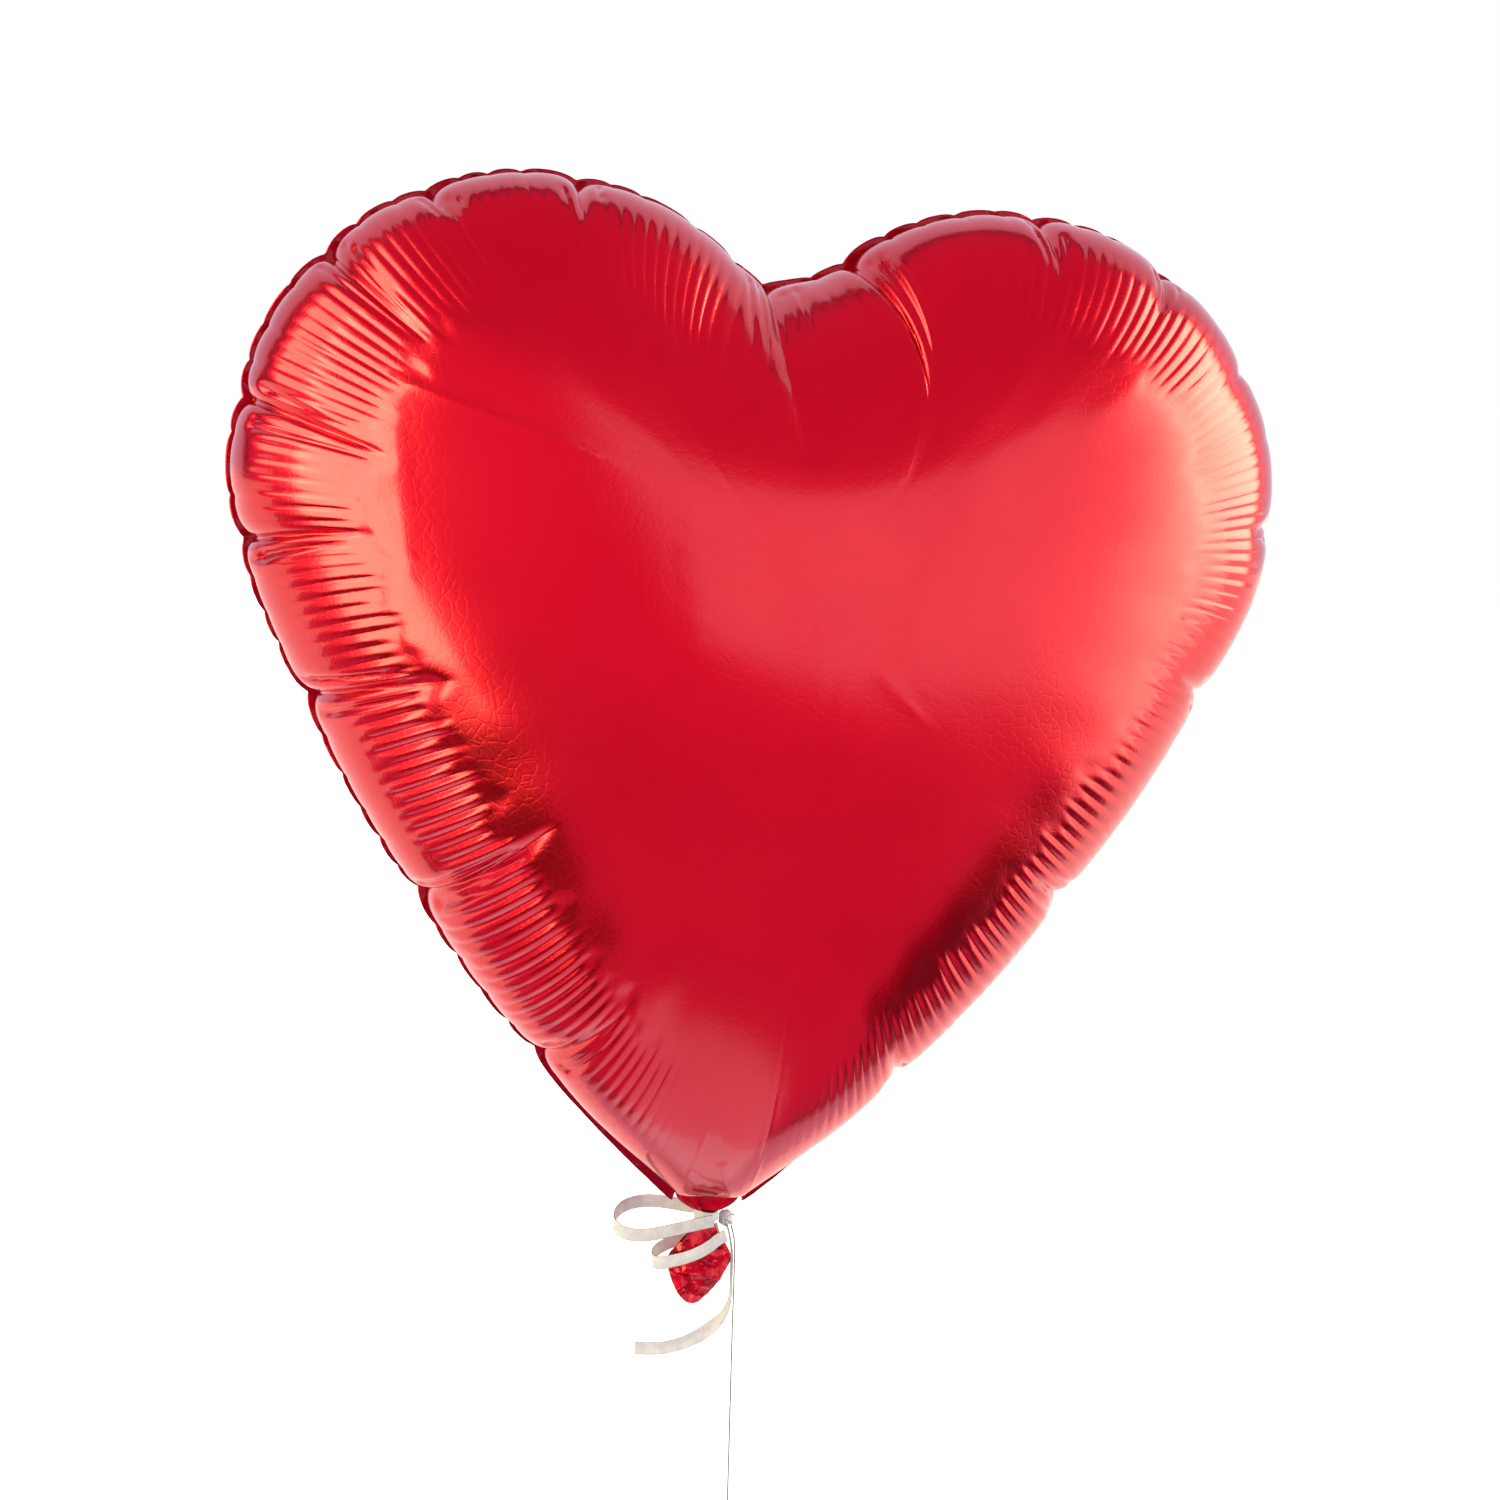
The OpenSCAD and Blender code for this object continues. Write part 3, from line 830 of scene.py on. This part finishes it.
def panel_surface(facing, seed):
    """Points of one panel, [ring, column, xyz]. facing is -1 for the front and 1 for the rear."""
    across = np.clip(FLAT_POINTS[..., 0] / TIP_HALF_W, -1, 1)
    mouth = MOUTH_DEPTH * np.sqrt(1 - across ** 2) * np.exp(
        -(FLAT_POINTS[..., 1] - TIP_Z) / (7 * MM))
    height = SMOOTH_HEIGHT + mouth
    surface = np.stack([FLAT_POINTS[..., 0], facing * height, FLAT_POINTS[..., 1]], -1)
    steps = np.linalg.norm(np.diff(surface, axis=0), axis=2)
    depth = np.vstack([np.zeros((1, COLUMNS)), np.cumsum(steps, 0)])
    around = np.roll(surface, -1, 1) - np.roll(surface, 1, 1)
    inward = np.gradient(surface, axis=0)
    normal = unit(np.cross(around, inward)) * -facing
    normal[-1] = (0, facing, 0)
    rng = np.random.default_rng(seed)
    relief = panel_relief(depth, rng, NOTCHES, RIM_LINE)
    if facing < 0:
        relief += face_folds()
    relief[-1] = relief[-2].mean()
    surface = surface + normal * relief[..., None]
    surface[..., 1] += RIM_WAVE * np.exp(-depth / (12 * MM))
    return surface


def make_panel(name, node, facing, seed):
    surface = panel_surface(facing, seed)
    points = surface.reshape(-1, 3)
    faces = panel_faces()
    if facing > 0:
        faces = [face[::-1] for face in faces]
    points, faces = used_only(points, faces)
    piece = new_piece(name, points, faces, RED_FOIL)
    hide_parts(node)
    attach(piece, "envelope")
    return piece


# Rows of points across the seal, from just inside the rim to its cut edge
SEAL_ROWS = np.array([-1.2, 0, 0.9, 1.8, 2.7, 3.5]) * MM
SEAL_HALF_T = 0.12 * MM


def make_seal():
    """The flat welded margin outside the panels, which follows the scallops of the rim."""
    rng = np.random.default_rng(RNG_SEED + 1)
    outward = -INWARD
    base = OUTLINE + outward * RIM_LINE[:, None]
    open_part = np.flatnonzero(FROM_TIP > -1 * MM)
    ripple = 0.35 * MM * wander(rng, PLACE, 18 * MM, 3)
    rows = []
    for side in (-1, 1):
        for off in SEAL_ROWS:
            flat = base + outward * off
            out = max(off, 0) / SEAL_ROWS[-1]
            y = RIM_WAVE + ripple * out ** 2 + side * SEAL_HALF_T
            rows.append(np.stack([flat[:, 0], y, flat[:, 1]], 1)[open_part])
    count, width = len(open_part), len(SEAL_ROWS)
    points = np.array(rows)
    order = list(range(width)) + list(range(2 * width - 1, width - 1, -1))
    points = points[order].transpose(1, 0, 2).reshape(-1, 3)
    ring = 2 * width
    faces = []
    for i in range(count - 1):
        for k in range(ring):
            a, b = i * ring + k, i * ring + (k + 1) % ring
            faces.append((a, a + ring, b + ring, b))
    for end, flip in ((0, -1), (count - 1, 1)):
        for k in range(width - 1):
            first = end * ring
            quad = (first + k, first + k + 1, first + ring - 2 - k, first + ring - 1 - k)
            faces.append(quad[::flip])
    piece = new_piece("welded_seal_margin", points, faces, RED_SEAL_SHADED)
    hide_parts("edge_seal")
    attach(piece, "envelope")
    return piece


make_panel("front_film_panel", "front_panel", -1, RNG_SEED + 2)
make_panel("rear_film_panel", "rear_panel", 1, RNG_SEED + 3)
make_seal()


# ---------------------------------------------------------------- Neck, wrap and tail

wrap_low, wrap_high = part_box("ribbon_wrap")
NECK_R = wrap_high.x - 0.8 * MM
NECK_ROWS, NECK_COLUMNS = 44, 192
NECK_FOLDS = (5, 7, 9, 12, 16)
WRAP_TURNS = 3
WRAP_W = 3.0 * MM
TAIL_ROWS, TAIL_COLUMNS = 150, 110
# Half the width of the tail's film where it leaves the tie
TAIL_TOP_HALF_W = 3 * MM
# Folds of the crushed tail: squeeze of its height, spacing and depth
TAIL_FOLDS = ((0.7, 5 * MM, 1.9 * MM), (0.8, 3 * MM, 0.9 * MM), (1, 1.4 * MM, 0.16 * MM))


def make_neck():
    """Film crumpled together from the heart's lower end down through the tie."""
    rng = np.random.default_rng(RNG_SEED + 4)
    around = np.linspace(0, 2 * math.pi, NECK_COLUMNS, endpoint=False)
    heights = np.linspace(wrap_low.z - 1.2 * MM, TIP_Z + 3 * MM, NECK_ROWS)
    folds = [(n, rng.random() * 6.3, rng.random()) for n in NECK_FOLDS]
    points = []
    for z in heights:
        share = min(max((z - wrap_high.z + 0.8 * MM) / (TIP_Z + 1.5 * MM - wrap_high.z), 0), 1)
        open_up = math.sin(math.pi / 2 * share) ** 0.6
        half_x = NECK_R + (TIP_HALF_W + 0.6 * MM - NECK_R) * open_up
        half_y = NECK_R + (MOUTH_DEPTH - NECK_R) * open_up
        fold = sum((0.3 + 0.7 * amount) * abs(np.sin(n * around / 2 + shift
            + 60 * z * (amount - 0.5))) for n, shift, amount in folds)
        fold = fold / fold.mean() - 1
        swell = 0.93 + (0.06 + 0.17 * open_up * (1 - open_up) * 4) * fold
        points.append(np.stack([half_x * swell * np.cos(around), half_y * swell
            * np.sin(around), z + 0.4 * MM * fold * open_up], 1))
    faces = []
    for j in range(NECK_ROWS - 1):
        for i in range(NECK_COLUMNS):
            a, b = j * NECK_COLUMNS + i, j * NECK_COLUMNS + (i + 1) % NECK_COLUMNS
            faces.append((a, b, b + NECK_COLUMNS, a + NECK_COLUMNS))
    piece = new_piece("crumpled_neck_film", np.vstack(points), faces, RED_CRUSHED)
    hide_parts("neck_gather")
    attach(piece, "envelope")


def make_wrap():
    """Turns of ribbon round the neck, drawn tight and lying over each other."""
    count = 90 * WRAP_TURNS
    a = np.linspace(0, 2 * math.pi * WRAP_TURNS, count)
    radius = NECK_R + 0.25 * MM + 0.18 * MM * a / (2 * math.pi)
    rise = 0.9 * MM * np.sin(a / WRAP_TURNS * 1.5 + 0.6)
    path = np.stack([radius * np.cos(a), radius * np.sin(a), rise], 1)
    piece = ribbon_piece("ribbon_neck_turns", path, upright_wide(count), WRAP_W, RIBBON_T,
        0.1 * MM)
    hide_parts("ribbon_wrap")
    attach(piece, "envelope")


def crumple(x, z, spacing, height, rng):
    """Flat facets with sharp folds between them: random heights at random points, joined by
    triangles and read off at every place (x, z)."""
    low = np.array([x.min(), z.min()]) - 2 * spacing
    high = np.array([x.max(), z.max()]) + 2 * spacing
    counts = np.maximum(((high - low) / spacing).astype(int), 2)
    seeds = np.array([(low + (high - low) * (np.array([i, j]) + 0.5 + 0.8 * (rng.random(2) - 0.5))
        / counts) for i in range(counts[0]) for j in range(counts[1])])
    heights = height * rng.uniform(-1, 1, len(seeds))
    places = [Vector(point) for point in seeds]
    order, _, triangles, origins, _, _ = geometry.delaunay_2d_cdt(places, [], [], 0, 1e-9)
    level = np.zeros_like(x)
    for triangle in triangles:
        corners = np.array([order[v] for v in triangle])
        known = heights[[origins[v][0] for v in triangle]]
        first, second = corners[1] - corners[0], corners[2] - corners[0]
        area = first[0] * second[1] - first[1] * second[0]
        px, pz = x - corners[0, 0], z - corners[0, 1]
        u = (px * second[1] - pz * second[0]) / area
        v = (pz * first[0] - px * first[1]) / area
        inside = (u >= 0) & (v >= 0) & (u + v <= 1)
        level = np.where(inside, known[0] + u * (known[1] - known[0])
            + v * (known[2] - known[0]), level)
    return level


def make_tail_leaf(name, node, facing):
    """One film of the tail, crushed into sharp little folds."""
    rng = np.random.default_rng(RNG_SEED + 6 + facing)
    low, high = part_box(node)
    u = np.linspace(-1, 1, TAIL_COLUMNS + 1)[None]
    v = np.linspace(0, 1, TAIL_ROWS + 1)[:, None]
    half_w = TAIL_TOP_HALF_W + ((high.x - low.x) / 2 - TAIL_TOP_HALF_W) * np.sin(
        math.pi / 2 * np.minimum(v / 0.62, 1))
    round_end = np.sqrt(1 - 0.72 * u * u * v)
    x = -2.5 * MM * v + half_w * u * (1 - 0.16 * v ** 3)
    z = high.z - (high.z - low.z) * v * round_end
    folds = sum(crumple(x, z * squeeze, spacing, deep, rng) for squeeze, spacing, deep in TAIL_FOLDS)
    # One long ridge lies across the lower half
    folds += 1.2 * MM * np.exp(-abs(z + 23 * MM + 0.12 * x) / (1.6 * MM))
    from_tie = np.minimum(v * 3, 1)
    belly = 1.9 * MM * np.minimum(v * 2.5, 1) * (0.35 + 0.65 * (1 - abs(u) ** 4))
    y = facing * np.clip(0.3 * MM + belly + folds * from_tie, 0.15 * MM, 4.6 * MM)
    y += 1.2 * MM * np.sin(z / (7 * MM)) * from_tie
    surface = np.stack([x, y, z], -1)
    faces = []
    n = TAIL_COLUMNS + 1
    for j in range(TAIL_ROWS):
        for i in range(TAIL_COLUMNS):
            a = j * n + i
            faces.append((a, a + n, a + n + 1, a + 1)[::-facing])
    piece = new_piece(name, surface.reshape(-1, 3), faces, RED_CRUSHED, False)
    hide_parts(node)
    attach(piece, "tail")


make_neck()
make_wrap()
make_tail_leaf("tail_front_film", "tail_front_leaf", -1)
make_tail_leaf("tail_rear_film", "tail_rear_leaf", 1)


def dress_valve():
    """The clear valve's CAD films get their own material."""
    for node in ("valve_front_film", "valve_rear_film", "valve_inlet_sleeve"):
        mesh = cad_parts[node].data
        mesh.materials.clear()
        mesh.materials.append(CLEAR_FILM)


dress_valve()


# ---------------------------------------------------------------- Studio

# The floor lies far under the balloon and starts behind it
FLOOR_Z = -0.5
FLOOR_FRONT = 0.35
FLOOR_SIZE = 10.0
FLOOR_GLOW_SEEN = 0.6
FLOOR_GLOW = 0.1


def make_floor():
    """A plain pale floor, far under the balloon and behind it."""
    half = FLOOR_SIZE / 2
    material, tree, shader = new_material("pale_floor")
    shader.inputs["Base Color"].default_value = (0.9, 0.9, 0.9, 1)
    shader.inputs["Roughness"].default_value = 0.9
    shader.inputs["Emission Color"].default_value = (1, 1, 1, 1)
    seen = add_node(tree, "ShaderNodeLightPath").outputs["Is Camera Ray"]
    tree.links.new(remap(tree, seen, 0, 1, FLOOR_GLOW, FLOOR_GLOW_SEEN),
        shader.inputs["Emission Strength"])
    mesh = bpy.data.meshes.new("floor")
    corners = [(-half, FLOOR_FRONT, FLOOR_Z), (half, FLOOR_FRONT, FLOOR_Z),
        (half, FLOOR_SIZE, FLOOR_Z), (-half, FLOOR_SIZE, FLOOR_Z)]
    mesh.from_pydata(corners, [], [(0, 1, 2, 3)])
    mesh.materials.append(material)
    floor = bpy.data.objects.new("floor", mesh)
    bpy.context.scene.collection.objects.link(floor)


def step_up(tree, value, middle, soft):
    """0 below middle and 1 above it, with a soft edge of that half width."""
    low = calculate(tree, "SUBTRACT", middle, soft)
    return remap(tree, value, low, calculate(tree, "ADD", middle, soft), 0, 1, True)


def window(tree, value, low, high, soft):
    """1 between low and high and 0 outside, with soft edges."""
    return times(tree, step_up(tree, value, low, soft),
        inverse(tree, step_up(tree, value, high, soft)))


def tinted(tree, level, colour):
    """A colour times a level."""
    return add_node(tree, "ShaderNodeVectorMath", ((0, colour), ("Scale", level)),
        operation="SCALE").outputs[0]


def add_light(tree, first, second):
    return add_node(tree, "ShaderNodeVectorMath", ((0, first), (1, second)),
        operation="ADD").outputs[0]


# Colours of the studio's lights
ROOM = (1.0, 0.1, 0.38)
BACKDROP = (0.86, 1.0, 1.15)
SOFT_BOX = (0.32, 1.4, 1.25)
SIDE_BOX = (1.0, 1.1, 0.6)
# What lights matt surfaces, such as the ribbon and the floor
DIFFUSE = (0.97, 0.96, 1.03)

# Directions are in degrees: azimuth from the front towards +X, and rise above level.
# A patch is an azimuth from and to with its soft edge, and a rise from and to with its soft edge
BACKDROP_SIDES = (-132, 118)
BACKDROP_TOP = (54, 60)
DARK_PATCHES = ((-98, -54, 4, -52, -37, 2), (82, 116, 3, -46, -32, 2), (-131, -122, 2, -62, 50, 4),
    (110, 118, 2, -62, 50, 4))
# Light panels at the left: a patch and its level
PANELS = (((-83, -58, 3, -33, 30, 3), 6.5), ((-112, -76, 5, 6, 44, 5), 4.5))
# The soft box at the right: its two sides, its top, and two darker columns in it
BOX_SIDES = (-5, 112)
BOX_TOP = 41
BOX_COLUMNS = ((9, 12), (24, 27))
BOX_LEVEL = 0.7
# The pool of light under the balloon
UNDER_TOP = -64
UNDER_LEVEL = 0.7


def patch(tree, azimuth, rise, left, right, side_soft, low, high, level_soft):
    """1 inside a patch of directions and 0 outside it, with soft edges."""
    return times(tree, window(tree, azimuth, left, right, side_soft),
        window(tree, rise, low, high, level_soft))


def room_light(tree, azimuth, rise):
    """A warm dim room in front with dark patches, and a white backdrop behind."""
    left, right = BACKDROP_SIDES
    behind = larger(tree, step_up(tree, azimuth, right, 4),
        inverse(tree, step_up(tree, azimuth, left, 4)))
    dark = times(tree, behind, window(tree, rise, *BACKDROP_TOP, 2))
    behind = times(tree, behind, inverse(tree, step_up(tree, rise, BACKDROP_TOP[0], 2)))
    for place in DARK_PATCHES:
        dark = larger(tree, dark, patch(tree, azimuth, rise, *place))
    level = remap(tree, window(tree, rise, -22, 44, 14), 0, 1, 0.85, 1.1)
    level = times(tree, level, remap(tree, dark, 0, 1, 1, 0.2))
    room = tinted(tree, times(tree, level, inverse(tree, behind)), ROOM)
    return add_light(tree, room, tinted(tree, behind, BACKDROP))


def soft_box_light(tree, azimuth, rise):
    """The large soft box at the right, with a slanted lower edge and a bright right end."""
    lower_edge = remap(tree, azimuth, 0, 95, -4, -28)
    tall = times(tree, step_up(tree, rise, lower_edge, 5),
        inverse(tree, step_up(tree, rise, BOX_TOP, 3)))
    box = times(tree, window(tree, azimuth, *BOX_SIDES, 5), tall)
    first, second = (window(tree, azimuth, *sides, 2.5) for sides in BOX_COLUMNS)
    box = times(tree, box, remap(tree, larger(tree, first, second), 0, 1, 1, 0.7))
    hot = calculate(tree, "POWER", remap(tree, azimuth, 38, 94, 0, 1, True), 2.0)
    hot = times(tree, hot, remap(tree, rise, -28, 14, 1.6, 8, True))
    return add_light(tree, tinted(tree, times(tree, box, BOX_LEVEL), SOFT_BOX),
        tinted(tree, times(tree, box, hot), SIDE_BOX))


def make_world():
    """The studio as light by direction, which the foil mirrors. Matt surfaces get a plain even
    light, and the camera itself sees plain white everywhere."""
    world = bpy.data.worlds.new("studio")
    bpy.context.scene.world = world
    world.use_nodes = True
    tree = world.node_tree
    direction = add_node(tree, "ShaderNodeTexCoord").outputs["Generated"]
    parts = add_node(tree, "ShaderNodeSeparateXYZ", (("Vector", direction),)).outputs
    ahead = times(tree, parts["Y"], -1)
    azimuth = calculate(tree, "DEGREES", calculate(tree, "ARCTAN2", parts["X"], ahead))
    rise = calculate(tree, "DEGREES", calculate(tree, "ARCSINE", parts["Z"]))

    light = room_light(tree, azimuth, rise)
    under = inverse(tree, step_up(tree, rise, UNDER_TOP, 4))
    light = add_light(tree, light, tinted(tree, times(tree, under, UNDER_LEVEL), SOFT_BOX))
    light = add_light(tree, light, soft_box_light(tree, azimuth, rise))
    for place, level in PANELS:
        panel = times(tree, patch(tree, azimuth, rise, *place), level)
        light = add_light(tree, light, tinted(tree, panel, SIDE_BOX))

    rays = add_node(tree, "ShaderNodeLightPath").outputs
    plain = tinted(tree, remap(tree, parts["Z"], -1, 1, 0.3, 0.9), DIFFUSE)
    light = mix_colour(tree, rays["Is Diffuse Ray"], light, plain)
    tree.links.new(mix_colour(tree, rays["Is Camera Ray"], light, (1, 1, 1, 1)),
        tree.nodes["Background"].inputs["Color"])


make_floor()
make_world()
bpy.context.scene.view_settings.view_transform = "Standard"
